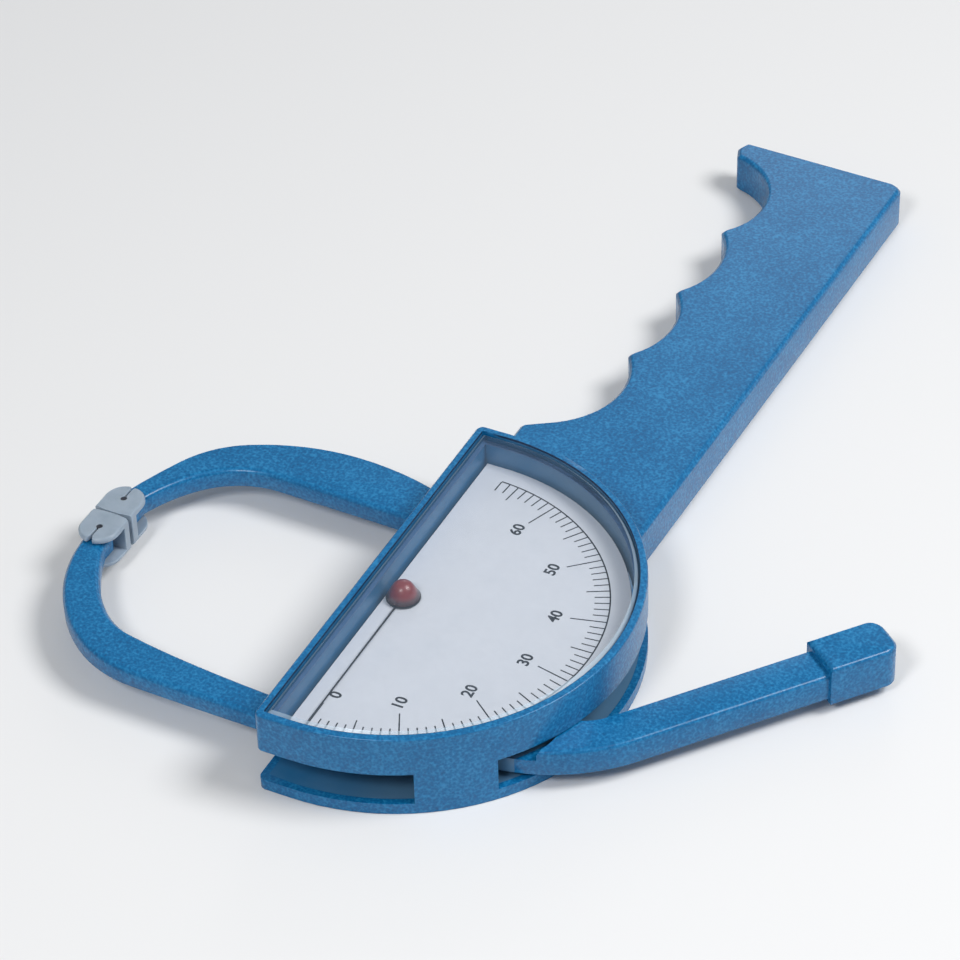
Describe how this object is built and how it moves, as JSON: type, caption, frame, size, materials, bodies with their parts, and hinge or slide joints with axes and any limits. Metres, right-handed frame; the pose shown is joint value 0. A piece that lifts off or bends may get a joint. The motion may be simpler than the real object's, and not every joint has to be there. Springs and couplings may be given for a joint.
{
  "type": "skinfold caliper",
  "caption": "Hand-held skinfold caliper: grooved handle, half-round dial housing, curved jaw arms with swivel tips, and a sprung thumb lever that drives the needle.",
  "frame": {"origin": "where the needle's axis meets the flat back of the frame", "axes": "+Z out of the dial face, along the needle's axis; +Y along the handle, towards its end; +X towards the thumb lever, so the jaws are on -X"},
  "size_m": [0.1555, 0.2138, 0.018],
  "materials": {
    "blue_enamel": "textured enamel",
    "tip_plastic": "translucent satin",
    "steel": "bright turned",
    "brass": "satin",
    "spring_steel": "oiled",
    "needle_black": "satin",
    "cap_red": "gloss",
    "plate_metal": "satin",
    "dial_white": "printed satin",
    "lens_clear": "polished",
    "gasket_rubber": "matte"
  },
  "bodies": {
    "frame": {"body_frame": "blue_enamel", "fixed_tip_pin": "steel", "pivot_screw": "steel", "pivot_nut": "steel", "thrust_washer": "brass", "idler_arbor": "steel", "staff_bush_lower": "brass", "staff_bush_upper": "brass", "hairspring": "spring_steel", "hairspring_stud": "steel", "return_spring": "spring_steel", "movement_plate": "plate_metal", "dial_plate": "dial_white", "lens": "lens_clear", "lens_gasket": "gasket_rubber", "plate_screws": "steel"},
    "lever": {"jaw_lever": "blue_enamel", "pivot_bush": "brass", "sector_gear": "brass", "sector_screws": "steel", "lever_spring_post": "steel", "moving_tip_pin": "steel"},
    "needle": {"needle_staff": "steel", "needle_pinion": "steel", "needle": "needle_black", "needle_cap": "cap_red", "hairspring_collet": "brass"},
    "idler": {"idler_gear": "brass"},
    "fixed_tip": {"fixed_tip": "tip_plastic"},
    "moving_tip": {"moving_tip": "tip_plastic"}
  },
  "joints": [
    {"name": "lever_hinge", "type": "hinge", "parent": "frame", "child": "lever", "pos_m": [0.027, -0.0185, 0], "axis": [0, 0, 1], "range_deg": [0, 41.5], "stiffness_Nm_per_rad": 0.15, "springref_deg": -85.94, "deforming": ["return_spring"]},
    {"name": "needle_turn", "type": "hinge", "parent": "frame", "child": "needle", "pos_m": [0, 0, 0], "axis": [0, 0, 1], "range_deg": [0, 173], "deforming": ["hairspring"]},
    {"name": "idler_turn", "type": "hinge", "parent": "frame", "child": "idler", "pos_m": [0.01069, -0.00488, 0], "axis": [0, 0, 1], "range_deg": [-59.5, 0]},
    {"name": "fixed_tip_swivel", "type": "hinge", "parent": "frame", "child": "fixed_tip", "pos_m": [-0.0633, 0.0046, 0], "axis": [0, 0, 1], "range_deg": [-8, 8]},
    {"name": "moving_tip_swivel", "type": "hinge", "parent": "lever", "child": "moving_tip", "pos_m": [-0.0633, -0.0046, 0], "axis": [0, 0, 1], "range_deg": [-8, 8]}
  ],
  "couplings": [
    {"joint": "needle_turn", "follows": "lever_hinge", "ratio": 4.1667},
    {"joint": "idler_turn", "follows": "lever_hinge", "ratio": -1.4286}
  ]
}
